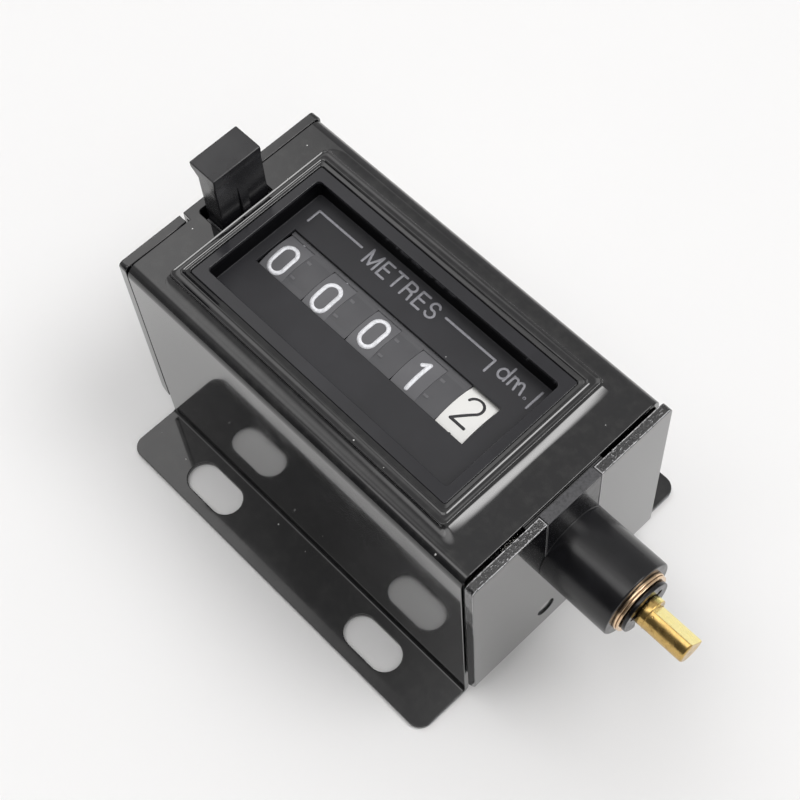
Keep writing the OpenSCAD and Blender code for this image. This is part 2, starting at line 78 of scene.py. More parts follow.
class Finish:
    """A Principled material whose textures sit in the piece's own space."""

    def __init__(self, name, color, roughness, metallic=0.0, ior=1.5, coat=0.0,
                 coat_ior=1.5, coat_roughness=0.05):
        self.material = bpy.data.materials.new(name)
        self.material.use_nodes = True
        self.tree = self.material.node_tree
        self.shader = self.tree.nodes["Principled BSDF"]
        self.set("Base Color", (*color, 1.0))
        self.set("Roughness", roughness)
        self.set("Metallic", metallic)
        self.set("IOR", ior)
        self.set("Coat Weight", coat)
        self.set("Coat IOR", coat_ior)
        self.set("Coat Roughness", coat_roughness)
        self.space = self.tree.nodes.new("ShaderNodeTexCoord")
        self.last_bump = None

    def set(self, socket, value):
        self.shader.inputs[socket].default_value = value

    def link(self, source, target):
        self.tree.links.new(source, target)

    def feed(self, source, socket):
        self.link(source, self.shader.inputs[socket])

    def place(self, stretch=(1, 1, 1)):
        """Object coordinates in millimetres, stretched."""
        mapping = self.tree.nodes.new("ShaderNodeMapping")
        mapping.inputs["Scale"].default_value = [s / MM for s in stretch]
        self.link(self.space.outputs["Object"], mapping.inputs["Vector"])
        return mapping.outputs["Vector"]

    def noise(self, size, detail=3.0, rough=0.55, stretch=(1, 1, 1), offset=0.0):
        """Noise whose blobs are about `size` millimetres."""
        node = self.tree.nodes.new("ShaderNodeTexNoise")
        node.noise_dimensions = "4D"
        node.inputs["W"].default_value = offset
        node.inputs["Scale"].default_value = 1 / size
        node.inputs["Detail"].default_value = detail
        node.inputs["Roughness"].default_value = rough
        self.link(self.place(stretch), node.inputs["Vector"])
        return node.outputs["Fac"]

    def specks(self, spacing, radius, share=0.5, stretch=(1, 1, 1)):
        """Round specks of about `radius` millimetres, in a share of the cells."""
        cells = self.tree.nodes.new("ShaderNodeTexVoronoi")
        cells.inputs["Scale"].default_value = 1 / spacing
        self.link(self.place(stretch), cells.inputs["Vector"])
        inside = self.span(cells.outputs["Distance"], radius / spacing, 0.35 * radius / spacing)
        split = self.tree.nodes.new("ShaderNodeSeparateColor")
        self.link(cells.outputs["Color"], split.inputs["Color"])
        kept = self.span(split.outputs["Red"], 1 - share, 1 - share + 0.01)
        return self.combine("MULTIPLY", inside, kept)

    def span(self, value, low_in, high_in, low_out=0.0, high_out=1.0):
        """Smooth change from low_out to high_out while value goes from low_in to high_in."""
        node = self.tree.nodes.new("ShaderNodeMapRange")
        node.interpolation_type = "SMOOTHSTEP"
        for socket, number in zip(("From Min", "From Max", "To Min", "To Max"),
                                  (low_in, high_in, low_out, high_out)):
            node.inputs[socket].default_value = number
        self.link(value, node.inputs["Value"])
        return node.outputs["Result"]

    def combine(self, kind, a, b):
        """One step of arithmetic on two numbers or sockets."""
        node = self.tree.nodes.new("ShaderNodeMath")
        node.operation = kind
        for value, socket in ((a, node.inputs[0]), (b, node.inputs[1])):
            if isinstance(value, (int, float)):
                socket.default_value = value
            else:
                self.link(value, socket)
        return node.outputs["Value"]

    def blend(self, share, first, second):
        """Colour mix; each colour is three numbers or a socket."""
        node = self.tree.nodes.new("ShaderNodeMix")
        node.data_type = "RGBA"
        self.link(share, node.inputs["Factor"])
        for value, socket in ((first, node.inputs["A"]), (second, node.inputs["B"])):
            if isinstance(value, tuple):
                socket.default_value = (*value, 1.0)
            else:
                self.link(value, socket)
        return node.outputs["Result"]

    def axis(self, source, name):
        """One coordinate of the place ("Object") or of the face's direction ("Normal")."""
        split = self.tree.nodes.new("ShaderNodeSeparateXYZ")
        self.link(self.space.outputs[source], split.inputs["Vector"])
        return split.outputs[name]

    def bump(self, height, depth, strength=1.0):
        """Relief of about `depth` millimetres, added to what is there."""
        node = self.tree.nodes.new("ShaderNodeBump")
        node.inputs["Distance"].default_value = depth * MM
        node.inputs["Strength"].default_value = strength
        self.link(height, node.inputs["Height"])
        if self.last_bump is not None:
            self.link(self.last_bump, node.inputs["Normal"])
        self.last_bump = node.outputs["Normal"]
        self.feed(self.last_bump, "Normal")


def enamel(name):
    """Stoved black enamel: deep gloss with slight orange peel and a few dust nibs."""
    f = Finish(name, (0.005, 0.005, 0.006), 0.08, ior=1.55, coat=0.6, coat_ior=1.5, coat_roughness=0.03)
    haze = f.noise(9, 4)
    f.feed(f.span(haze, 0.3, 0.75, 0.05, 0.13), "Roughness")
    level = f.span(f.axis("Normal", "Z"), 0.6, 0.8)
    dust = f.combine("MULTIPLY", f.specks(3.0, 0.17, 0.45, (1, 1, 0)), level)
    grime = f.span(f.noise(1.6, 6, 0.65, offset=3), 0.42, 0.72)
    tone = f.blend(grime, (0.003, 0.003, 0.004), (0.015, 0.015, 0.015))
    f.feed(f.blend(dust, tone, (0.75, 0.75, 0.74)), "Base Color")
    f.bump(f.noise(16, 2, offset=7), 0.06, 0.3)
    f.bump(f.noise(1.6, 3, offset=1), 0.012, 0.3)
    f.bump(dust, 0.08, 1.0)
    return f


def chassis_enamel():
    """The same enamel, thin and streaky on the sheared edges of the right end plate, with painted highlight
    lines along the plate's sheared borders and its notch for the hub.
    """
    f = enamel("chassis_enamel")
    x = f.axis("Object", "X")
    y = f.combine("ABSOLUTE", f.axis("Object", "Y"), 0.0)
    z = f.axis("Object", "Z")
    past = f.span(x, PLATE_IN * MM, (PLATE_IN + 0.04) * MM)
    face = f.span(f.combine("ABSOLUTE", f.axis("Normal", "X"), 0.0), 0.45, 0.55)
    sheared = f.combine("SUBTRACT", 1.0, face)
    edge = f.combine("MULTIPLY", past, sheared)
    edge = f.combine("MULTIPLY", edge, f.span(z, (NOTCH_Z + 1.5) * MM, (NOTCH_Z + 3.5) * MM))
    streaks = f.noise(0.22, 4, 0.7, stretch=(1.0, 0.5, 0.5), offset=5)
    wear_and_highlight = f.combine("MULTIPLY", edge, f.span(streaks, 0.56, 0.66, 0.0, 0.8))
    # painted highlights: light lines along the sheared borders and the notch for the hub
    upper = f.span(z, (NOTCH_Z - 0.5) * MM, (NOTCH_Z + 0.5) * MM)
    broken = f.combine("MULTIPLY", sheared, f.span(streaks, 0.38, 0.54))
    borders = [(x, PLATE_IN + 0.10, 0.12, broken), (x, PLATE_IN + PLATE_T - 0.10, 0.12, broken),
               (y, NOTCH_Y + 0.05, 0.14, 0.8)]
    for place, at, wide, share in borders:
        off = f.combine("ABSOLUTE", f.combine("SUBTRACT", place, at * MM), 0.0)
        line = f.combine("MULTIPLY", f.span(off, wide * MM, 0.3 * wide * MM), share)
        line = f.combine("MULTIPLY", f.combine("MULTIPLY", line, upper), past)
        wear_and_highlight = f.combine("MAXIMUM", wear_and_highlight, line)
    tone = f.shader.inputs["Base Color"].links[0].from_socket
    # the streaks are thin paint on the sheared edge; the border lines are painted highlights
    f.feed(f.blend(wear_and_highlight, tone, (0.50, 0.50, 0.51)), "Base Color")
    f.bump(f.combine("MULTIPLY", edge, streaks), 0.10, 1.0)
    return f


def matte_plastic(name, dark, light, rough, grain=0.5, depth=0.01, ior=1.46):
    """Moulded plastic with a fine grain and a slight cloudiness."""
    f = Finish(name, dark, rough, ior=ior)
    cloud = f.noise(7, 4)
    f.feed(f.blend(f.span(cloud, 0.35, 0.7), dark, light), "Base Color")
    f.feed(f.span(f.noise(3, 4, offset=2), 0.3, 0.7, rough - 0.06, rough + 0.07), "Roughness")
    f.bump(f.noise(grain, 4, 0.6, offset=4), depth, 0.6)
    return f


def dial_plastic():
    """Matt dial with its side walls painted near black as shade, and a glossy lip."""
    f = matte_plastic("dial_plastic", (0.021, 0.021, 0.024), (0.026, 0.026, 0.030), 0.5)
    z = f.axis("Object", "Z")
    upright = f.span(f.combine("ABSOLUTE", f.axis("Normal", "Z"), 0.0), 0.7, 0.3)
    shaded_wall = f.combine("MULTIPLY", upright, f.span(z, (DIAL_Z + 0.02) * MM, (DIAL_Z + 0.2) * MM))
    shaded_wall = f.combine("MULTIPLY", shaded_wall, f.span(z, (COVER_TOP + 0.1) * MM, COVER_TOP * MM))
    tone = f.shader.inputs["Base Color"].links[0].from_socket
    dust = f.combine("MULTIPLY", f.specks(3.6, 0.13, 0.3, (1, 1, 0)), f.span(upright, 0.5, 0.1))
    # painted shade: the recess's side walls are darkened to near black, and their specular level is lowered
    tone = f.blend(shaded_wall, tone, (0.003, 0.003, 0.004))
    f.feed(f.blend(dust, tone, (0.6, 0.6, 0.6)), "Base Color")
    f.feed(f.span(shaded_wall, 0.0, 1.0, 0.5, 0.12), "Specular IOR Level")
    f.feed(f.span(z, (COVER_TOP - 0.6) * MM, (COVER_TOP - 0.4) * MM, 0.5, 0.16), "Roughness")
    return f


def hub_plastic():
    """Satin black plastic with faint moulding lines along its length."""
    f = Finish("hub_plastic", (0.008, 0.008, 0.009), 0.3, ior=1.5)
    cloud = f.span(f.noise(5, 4), 0.35, 0.75)
    tone = f.blend(cloud, (0.005, 0.005, 0.006), (0.010, 0.010, 0.012))
    top = f.span(f.axis("Object", "Z"), (COVER_TOP - 0.3) * MM, (COVER_TOP - 0.1) * MM)
    sawn = f.combine("MULTIPLY", top, f.span(f.noise(0.35, 4, 0.7, offset=9), 0.3, 0.6, 0.4, 1.0))
    f.feed(f.blend(sawn, tone, (0.075, 0.075, 0.08)), "Base Color")
    shine = f.span(f.noise(1.6, 5, offset=2, stretch=(0.2, 1, 1)), 0.3, 0.7, 0.15, 0.27)
    f.feed(f.combine("ADD", shine, f.combine("MULTIPLY", sawn, 0.3)), "Roughness")
    f.bump(f.noise(0.9, 3, offset=6, stretch=(0.12, 1, 1)), 0.018, 0.5)
    f.bump(f.noise(0.25, 3, offset=8), 0.006, 0.4)
    f.bump(f.specks(2.6, 0.12, 0.25), 0.05, 0.8)
    return f


def metal(name, color, rough, along=(1, 1, 1), line=0.12, depth=0.012,
          stain=(0.5, 0.5, 0.5), stain_share=0.6):
    """Metal with tool lines across the stretched axis, and some staining."""
    f = Finish(name, color, rough, metallic=1.0)
    blotch = f.span(f.noise(2.2, 5, 0.65), 0.48, 0.78, 0.0, stain_share)
    f.feed(f.blend(blotch, color, stain), "Base Color")
    f.feed(f.span(f.noise(1.1, 5, offset=3), 0.3, 0.75, rough * 0.7, rough * 1.45), "Roughness")
    f.bump(f.noise(line, 2, stretch=along, offset=5), depth, 0.6)
    return f


def brass():
    """Turned brass bar, tarnished brown and pitted; faces turned like the milled flat get a painted
    highlight of bright brass.
    """
    f = metal("brass", (0.62, 0.42, 0.15), 0.24, along=(1, 0.05, 0.05), line=0.22, depth=0.01,
              stain=(0.20, 0.11, 0.035), stain_share=0.95)
    tone = f.shader.inputs["Base Color"].links[0].from_socket
    across = f.combine("ADD", f.combine("MULTIPLY", f.axis("Normal", "Y"), math.sin(FLAT_TURN)),
                   f.combine("MULTIPLY", f.axis("Normal", "Z"), math.cos(FLAT_TURN)))
    # painted highlight: bright brass on every face turned like the flat
    bright = f.span(across, 0.80, 0.95)
    f.feed(f.blend(bright, tone, (0.98, 0.85, 0.33)), "Base Color")
    pits = f.specks(1.15, 0.13, 0.4)
    f.bump(f.combine("SUBTRACT", 1.0, pits), 0.05, 0.8)
    return f


def printed(name, color, rough=0.5):
    """Printing ink, a little uneven in cover."""
    f = Finish(name, color, rough)
    thin = tuple(c * 0.72 for c in color)
    f.feed(f.blend(f.span(f.noise(0.45, 4, 0.65), 0.3, 0.6), thin, color), "Base Color")
    f.bump(f.noise(0.2, 3, offset=2), 0.004, 0.5)
    return f


ENAMEL = enamel("cover_enamel").material
CHASSIS = chassis_enamel().material
DIAL = dial_plastic().material
HUB = hub_plastic().material
BUTTON = matte_plastic("button_plastic", (0.010, 0.010, 0.012), (0.015, 0.015, 0.017), 0.22,
                       0.6, 0.003, 1.55).material
WHEEL = matte_plastic("wheel_plastic", (0.12, 0.12, 0.128), (0.145, 0.145, 0.153), 0.42).material
WHITE = matte_plastic("white_plastic", (0.80, 0.80, 0.78), (0.86, 0.86, 0.84), 0.4).material
MASK = matte_plastic("mask_plastic", (0.082, 0.082, 0.088), (0.096, 0.096, 0.102), 0.42).material
NATURAL = matte_plastic("natural_plastic", (0.72, 0.70, 0.62), (0.80, 0.78, 0.71), 0.38).material
BRASS = brass().material
BRONZE = metal("bronze", (0.80, 0.58, 0.38), 0.2, along=(1, 0.1, 0.1), stain=(0.22, 0.13, 0.08)).material
BRIGHT = metal("bright_steel", (0.62, 0.62, 0.62), 0.2, along=(0.15, 1, 1),
               stain=(0.36, 0.35, 0.33)).material
ZINC = metal("zinc_steel", (0.66, 0.66, 0.64), 0.32, along=(1, 1, 0.15), stain=(0.45, 0.43, 0.36)).material
BLACKED = metal("black_oxide", (0.045, 0.045, 0.047), 0.22, stain=(0.10, 0.09, 0.085)).material
INK_GREY = printed("ink_grey", (0.33, 0.33, 0.36)).material
INK_WHITE = printed("ink_white", (0.93, 0.94, 0.98)).material
INK_BLACK = printed("ink_black", (0.035, 0.035, 0.04)).material

SLOT_FINISH = {
    "black_paint": ENAMEL, "dial_black": DIAL, "hub_black": HUB, "button_black": BUTTON,
    "wheel_black": WHEEL, "wheel_white": WHITE, "natural_plastic": NATURAL, "brass": BRASS,
    "bronze": BRONZE, "bright_steel": BRIGHT, "zinc_steel": ZINC, "black_steel": BLACKED,
}


# ---- CAD nodes: rounded edges and finishes ----

SOFT_EDGE = {
    "cover": 0.14, "chassis": 0.10, "dial_insert": 0.12, "bearing_hub": 0.10, "reset_button": 0.20,
    "front_bushing": 0.10, "thrust_washer": 0.08, "shaft_clip": 0.10, "input_shaft": 0.10,
    "inner_bracket": 0.12, "drive_coupling": 0.12, "reset_comb": 0.12,
}
SMALL_EDGE = 0.06


def soften(piece, width):
    """Rounds the sharp edges of a tessellated solid and evens out its shading."""
    for polygon in piece.data.polygons:
        polygon.use_smooth = True
    weld = piece.modifiers.new("weld", "WELD")
    weld.merge_threshold = 0.005 * MM
    flat = piece.modifiers.new("flat", "DECIMATE")
    flat.decimate_type = "DISSOLVE"
    flat.angle_limit = math.radians(0.4)
    bevel = piece.modifiers.new("bevel", "BEVEL")
    bevel.width = width * MM
    bevel.segments = 3
    bevel.limit_method = "ANGLE"
    bevel.angle_limit = math.radians(35)
    bevel.use_clamp_overlap = False
    normals = piece.modifiers.new("normals", "WEIGHTED_NORMAL")
    normals.weight = 100
    normals.keep_sharp = False


def paint(piece, material):
    piece.data.materials.clear()
    piece.data.materials.append(material)


for row in frame["record"]["subparts"]:
    cad = NODES[row["node"]]
    paint(cad, SLOT_FINISH[row["material_slot"]])
    if row["node"] != "reset_spring":
        soften(cad, SOFT_EDGE.get(row["node"], SMALL_EDGE))
paint(NODES["chassis"], CHASSIS)


# ---- pieces made here ----

def add_piece(name, mesh, body, material, smooth=True):
    """A new piece that rides on a body and is painted with one material."""
    for polygon in mesh.polygons:
        polygon.use_smooth = smooth
    piece = bpy.data.objects.new(name, mesh)
    bpy.context.scene.collection.objects.link(piece)
    paint(piece, material)
    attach(piece, body)
    return piece


def finished_mesh(name, bm):
    bmesh.ops.remove_doubles(bm, verts=bm.verts, dist=0.0005 * MM)
    bmesh.ops.recalc_face_normals(bm, faces=bm.faces)
    mesh = bpy.data.meshes.new(name)
    bm.to_mesh(mesh)
    bm.free()
    return mesh


def rounded_ring(area, radius, z, steps=7, sides=1):
    """Points round a rectangle (low x, high x, half width); each side has so many parts."""
    x0, x1, half = area
    corners = [(x1 - radius, half - radius, 0), (x0 + radius, half - radius, 90),
               (x0 + radius, -half + radius, 180), (x1 - radius, -half + radius, 270)]
    points = []
    for cx, cy, start in corners:
        for i in range(steps + 1):
            a = math.radians(start + 90 * i / steps)
            points.append(Vector((cx + radius * math.cos(a), cy + radius * math.sin(a), z)) * MM)
    ring = []
    for k, point in enumerate(points):
        ring.append(point)
        if k % (steps + 1) == steps:
            onward = points[(k + 1) % len(points)]
            ring += [point.lerp(onward, i / sides) for i in range(1, sides)]
    return ring


def loft(name, rings):
    """Mesh through rings of points with the same count, the last one joined to the first."""
    bm = bmesh.new()
    made = [[bm.verts.new(p) for p in ring] for ring in rings]
    for one, two in zip(made, made[1:] + made[:1]):
        for i in range(len(one)):
            j = (i + 1) % len(one)
            bm.faces.new((one[i], one[j], two[j], two[i]))
    return finished_mesh(name, bm)


# Pressed frame round the dial. Each point is (share of the way from the ridge's outer edge
# to its inner edge, extra outward reach in mm, height in mm above the cover).
OUTER_BLEND = [
    (0.00, 2.70, -0.06), (0.00, 2.60, -0.02), (0.00, 2.50, 0.000), (0.00, 2.15, 0.02),
    (0.00, 1.80, 0.06), (0.00, 1.50, 0.115), (0.00, 1.20, 0.185), (0.00, 0.95, 0.255),
    (0.00, 0.70, 0.34), (0.00, 0.50, 0.415), (0.00, 0.32, 0.49), (0.00, 0.20, 0.55),
    (0.00, 0.10, 0.62), (0.00, 0.04, 0.69),
]
OUTER_CREST = [
    (0.02, 0.00, 0.78), (0.045, 0.00, 0.85), (0.07, 0.00, 0.885), (0.095, 0.00, 0.88),
    (0.12, 0.00, 0.86), (0.20, 0.00, 0.79), (0.24, 0.00, 0.77),
]
VALLEY = [(0.32, 0.00, 0.76), (0.44, 0.00, 0.765)]
INNER_CREST = [
    (0.51, 0.00, 0.80), (0.55, 0.00, 0.85), (0.58, 0.00, 0.865), (0.61, 0.00, 0.85),
    (0.69, 0.00, 0.78), (0.72, 0.00, 0.70), (0.75, 0.00, 0.655),
]
LIP = [(0.80, 0.00, 0.635), (0.95, 0.00, 0.625), (0.985, 0.00, 0.60), (1.01, 0.00, 0.54)]
DROP = [(1.025, -0.03, 0.42), (1.03, -0.03, 0.25), (1.03, -0.03, -0.06)]
FRAME_PROFILE = OUTER_BLEND + OUTER_CREST + VALLEY + INNER_CREST + LIP + DROP
REACH = (0.03, 0.75, 0.62)     # share of the reach at the left end, right end and long sides
LOW_BLEND = 0.5                # how much lower the outer blend is along the long sides
CORNER_SPREAD = (1.1, 0.05)    # how much wider the outer blend is at the corners, along x and y


def pressed_frame():
    """The frame; its outer blend is widest at the right and almost upright next to the button."""
    middle = Vector(((RIDGE_OUT[0] + RIDGE_OUT[1]) / 2, 0, 0)) * MM
    half = ((RIDGE_OUT[1] - RIDGE_OUT[0]) / 2 * MM, RIDGE_OUT[2] * MM)
    rings = []
    for share, reach, height in FRAME_PROFILE:
        area = [a + (b - a) * share for a, b in zip(RIDGE_OUT, RIDGE_IN)]
        wide = (area[0] - reach * REACH[0], area[1] + reach * REACH[1], area[2] + reach * REACH[2])
        radius = 0.75 - 0.3 * share
        edge = rounded_ring(area, radius, COVER_TOP + height, sides=10)
        ring = rounded_ring(wide, radius + 0.4 * max(reach, 0), COVER_TOP + height, sides=10)
        for k, (inner, outer) in enumerate(zip(edge, ring)):
            off, step = inner - middle, outer - inner
            near_corner = min(1, abs(off.x) / half[0], abs(off.y) / half[1]) ** 2
            spread = Vector((step.x * CORNER_SPREAD[0], step.y * CORNER_SPREAD[1], 0))
            ring[k] = outer + spread * near_corner
            if reach > 0 and height > 0:
                ring[k].z -= height * MM * LOW_BLEND * (step.y / step.length) ** 2
        rings.append(ring)
    return add_piece("dial_frame", loft("dial_frame", rings), "housing", ENAMEL)


pressed_frame()


def slab(bm, x0, x1, y0, y1, z0, z1, round_by):
    """A small plate with rounded edges, added to bm."""
    made = bmesh.ops.create_cube(bm, size=1.0)["verts"]
    size = Vector((x1 - x0, y1 - y0, z1 - z0)) * MM
    centre = Vector((x0 + x1, y0 + y1, z0 + z1)) * (MM / 2)
    bmesh.ops.transform(bm, verts=made, matrix=Matrix.Translation(centre) @ Matrix.Diagonal((*size, 1.0)))
    edges = list({e for v in made for e in v.link_edges})
    bmesh.ops.bevel(bm, geom=edges, offset=round_by * MM, segments=2, profile=0.5, affect="EDGES")


MASK_X = (2.34, 6.36)           # from a wheel's middle to just short of the next one
MASK_X_LAST = 6.16              # the white wheel is wider
MASK_Y = (-3.48, 2.96)
MASK_FLAT_Z = 37.68             # where the strip lies flat over the bar's ends
MASK_T = 0.07
SHADE_STRIP_X = (-22.4, 12.26)     # painted shade: strip along the far side of the four black wheels
SHADE_STRIP_Y = (2.97, 3.63)
MARK_X = (2.55, 3.35)
MARK_Y = (-1.75, 1.35)


def mask_z(y):
    """Height of the strips: level with the wheels in the middle, flat at both ends."""
    return max(MASK_FLAT_Z, AXIS_Z + math.sqrt((WHEEL_R - 0.03) ** 2 - y * y))


def mask_strip(bm, x0, x1, y0, y1):
    """A thin strip that follows mask_z, added to bm."""
    steps = 24
    rows = []
    for i in range(steps + 1):
        y = y0 + (y1 - y0) * i / steps
        z = mask_z(y)
        corners = [(x0, z - MASK_T), (x0, z), (x1, z), (x1, z - MASK_T)]
        rows.append([bm.verts.new(Vector((x, y, h)) * MM) for x, h in corners])
    for one, two in zip(rows, rows[1:]):
        for i in range(4):
            j = (i + 1) % 4
            bm.faces.new((one[i], one[j], two[j], two[i]))
    bm.faces.new(rows[0])
    bm.faces.new(list(reversed(rows[-1])))


def mask_caps():
    """Grey strips that close the gaps between the wheels, on the bars of the dial."""
    bm = bmesh.new()
    for k, x in enumerate(WHEEL_X[:4]):
        right = MASK_X_LAST if k == 3 else MASK_X[1]
        mask_strip(bm, x + MASK_X[0], x + right, *MASK_Y)
    mesh = finished_mesh("mask_caps", bm)
    return add_piece("mask_caps", mesh, "housing", MASK, smooth=False)


def shade_far_strip():
    """Dark grey strip over the far ends of the black wheels: painted shade that hides the next digits where
    they come up.
    """
    bm = bmesh.new()
    mask_strip(bm, *SHADE_STRIP_X, *SHADE_STRIP_Y)
    mesh = finished_mesh("shade_far_strip", bm)
    return add_piece("shade_far_strip", mesh, "housing", MASK, smooth=False)


def tooth_glint_pips():
    """Two small raised pips beside each black wheel, in the wheels' lighter grey: painted highlights for
    the glints on the gear teeth.
    """
    bm = bmesh.new()
    for x in WHEEL_X[:4]:
        for y in MARK_Y:
            z = mask_z(y)
            # painted highlights: lighter pips for the glints on the gear teeth
            slab(bm, x + MARK_X[0], x + MARK_X[1], y - 0.22, y + 0.22, z - 0.04, z + 0.04, 0.04)
    return add_piece("tooth_glint_pips", finished_mesh("tooth_glint_pips", bm), "housing", WHEEL)


mask_caps()
shade_far_strip()
tooth_glint_pips()


# ---- digits ----

STROKE = 0.62
DIGIT_W = 3.12 - STROKE         # centre line width
DIGIT_H = 5.2 - STROKE          # centre line height
HALF_W = DIGIT_W / 2
HALF_H = DIGIT_H / 2


def arc(cx, cy, rx, ry, start, end, steps=14):
    angles = [math.radians(start + (end - start) * i / steps) for i in range(steps + 1)]
    return [(cx + rx * math.cos(a), cy + ry * math.sin(a)) for a in angles]


def glyph(digit):
    """A digit as smooth strokes on its centre lines, drawn about the origin."""
    w, h = HALF_W, HALF_H
    upper = h - w
    six_r = 1.4
    loop = arc(0, -h + six_r, w, six_r, 180, -180, 28)
    back = arc(0, upper, w, w, 35, 180) + [(-w, -h + six_r)]
    return {
        0: [arc(0, upper, w, w, 0, 180) + arc(0, -upper, w, w, 180, 360) + [(w, upper)]],
        1: [[(-0.62, h - 0.72), (0.22, h)], [(0.22, h), (0.22, -h)]],
        2: [arc(0, upper, w, w, 170, -32) + [(-w, -h)], [(-w, -h), (w, -h)]],
        3: [arc(0, h - 1.15, 1.12, 1.15, 155, -90), arc(0, -h + 1.27, w, 1.27, 90, -155)],
        4: [[(0.5, -h), (0.5, h)], [(0.5, h), (-w, -0.9)], [(-w, -0.9), (w, -0.9)]],
        5: [[(w - 0.1, h), (-w + 0.25, h)], [(-w + 0.25, h), (-w + 0.1, 0.3)],
            arc(0, -h + 1.45, w, 1.45, 130, -155)],
        6: [back, loop],
        7: [[(-w, h), (w, h)], [(w, h), (-0.35, -h)]],
        8: [arc(0, h - 1.12, 1.05, 1.12, -90, 270, 26), arc(0, -h + 1.3, w, 1.3, 90, 450, 28)],
        9: [[(-x, -y) for x, y in back], [(-x, -y) for x, y in loop]],
    }[digit]


def resample(points, step=0.3):
    """The same line with no gap longer than step."""
    out = [Vector(points[0])]
    for p in points[1:]:
        start, end = out[-1], Vector(p)
        parts = max(1, math.ceil((end - start).length / step))
        out += [start.lerp(end, i / parts) for i in range(1, parts + 1)]
    return out


def stroke_outline(points, width):
    """Left and right sides of a stroke, with round ends."""
    line = resample(points)
    ends = (line[0] - line[-1]).length > width / 4
    left, right = [], []
    for i, p in enumerate(line):
        before = line[max(i - 1, 0)]
        after = line[min(i + 1, len(line) - 1)]
        if not ends and i in (0, len(line) - 1):
            before, after = line[-2], line[1]
        along = (after - before).normalized()
        side = Vector((-along.y, along.x)) * (width / 2)
        left.append(p + side)
        right.append(p - side)
    if ends:
        for at, nxt, front in ((line[0], line[1], True), (line[-1], line[-2], False)):
            out = (at - nxt).normalized()
            side = Vector((-out.y, out.x))
            for k in (1, 2, 3):
                a = math.pi / 2 * k / 4
                reach = out * math.sin(a) * width / 2
                wide = side * math.cos(a) * width / 2
                if front:
                    left.insert(0, at + reach - wide)
                    right.insert(0, at + reach + wide)
                else:
                    left.append(at + reach + wide)
                    right.append(at + reach - wide)
    return left, right


def raise_stroke(bm, points, width, place, lift, sink):
    """Adds a thin closed stroke; place(u, v, height) puts a point on the surface."""
    left, right = stroke_outline(points, width)
    rows = []
    for a, b in zip(left, right):
        corners = [(a, lift), (b, lift), (b, sink), (a, sink)]
        rows.append([bm.verts.new(place(p.x, p.y, h)) for p, h in corners])
    for one, two in zip(rows, rows[1:]):
        for i in range(4):
            j = (i + 1) % 4
            bm.faces.new((one[i], one[j], two[j], two[i]))
    bm.faces.new(rows[0])
    bm.faces.new(list(reversed(rows[-1])))


INK = 0.03
DIGIT_TURN = math.radians(36)


def wheel_digits(k):
    """The ten digits of one wheel, wrapped round its rim."""
    bm = bmesh.new()
    last = k == len(WHEELS) - 1
    width = 0.40 if last else STROKE
    for digit in range(10):
        turn = (digit - SHOWN[k]) * DIGIT_TURN + SETTLED[k] / WHEEL_R

        def place(u, v, height):
            angle = turn + v / WHEEL_R
            r = WHEEL_R + height
            return Vector((WHEEL_X[k] + u, r * math.sin(angle), AXIS_Z + r * math.cos(angle))) * MM

        for n, stroke in enumerate(glyph(digit)):
            raise_stroke(bm, stroke, width, place, INK + 0.003 * n, -0.02)
    name = "digits_" + WHEELS[k].split("_")[1]
    return add_piece(name, finished_mesh(name, bm), WHEELS[k], INK_BLACK if last else INK_WHITE)


for index in range(len(WHEELS)):
    wheel_digits(index)


# ---- dial lettering ----

LINE_W = 0.36


def on_dial(u, v, height):
    return Vector((u, v, DIAL_Z + height)) * MM


def dial_lines():
    """Bracket lines that span the metre wheels and close the decimetre column."""
    bm = bmesh.new()
    lines = [
        [(-22.2, 5.9), (-22.2, 8.1)],        # left bracket
        [(-22.2, 8.1), (-13.6, 8.1)],
        [(2.7, 8.25), (11.95, 8.25)],        # right bracket
        [(11.95, 8.25), (11.95, 6.1)],
        [(19.75, 6.0), (19.75, 9.1)],        # end of the decimetre column
    ]
    for n, line in enumerate(lines):
        raise_stroke(bm, line, LINE_W, on_dial, 0.02 + 0.002 * n, -0.02)
    return add_piece("dial_lines", finished_mesh("dial_lines", bm), "housing", INK_GREY)


CAP_H = 2.45                   # centre-line height of a capital
X_H = 1.55                     # centre-line height of a small letter


def letter(char):
    """(advance width, strokes) of a plain upright letter standing on the line."""
    h, x = CAP_H, X_H
    bowl = arc(0.62, x / 2, 0.62, x / 2, 0, 360, 24)
    hump = arc(0.36, x - 0.40, 0.36, 0.40, 180, 0, 8)
    return {
        "M": (1.85, [[(0, 0), (0, h)], [(0, h), (0.92, 0.15)],
                     [(0.92, 0.15), (1.85, h)], [(1.85, h), (1.85, 0)]]),
        "E": (1.30, [[(0, 0), (0, h)], [(0, h), (1.25, h)],
                     [(0, h * 0.53), (1.15, h * 0.53)], [(0, 0), (1.3, 0)]]),
        "T": (1.45, [[(0, h), (1.45, h)], [(0.72, h), (0.72, 0)]]),
        "R": (1.40, [[(0, 0), (0, h)],
                     [(0, h), (0.8, h)] + arc(0.8, h * 0.76, 0.55, h * 0.24, 90, -90, 12) + [(0, h * 0.52)],
                     [(0.75, h * 0.5)] + arc(0.85, h * 0.36, 0.42, h * 0.13, 80, 0, 6) + [(1.36, 0)]]),
        "S": (1.35, [arc(0.66, h * 0.75, 0.62, h * 0.25, 20, 265, 18)
                     + arc(0.68, h * 0.26, 0.66, h * 0.26, 80, -165, 18)]),
        "d": (1.24, [bowl, [(1.24, 0), (1.24, h)]]),
        "m": (1.95, [[(0, 0), (0, x)], [(0, x - 0.5)] + hump + [(0.95, 0)],
                     [(px + 0.96, py) for px, py in [(0, x - 0.5)] + hump + [(0.98, 0)]]]),
        ".": (0.16, [arc(0.08, 0.08, 0.08, 0.08, 0, 360, 8)]),
    }[char]


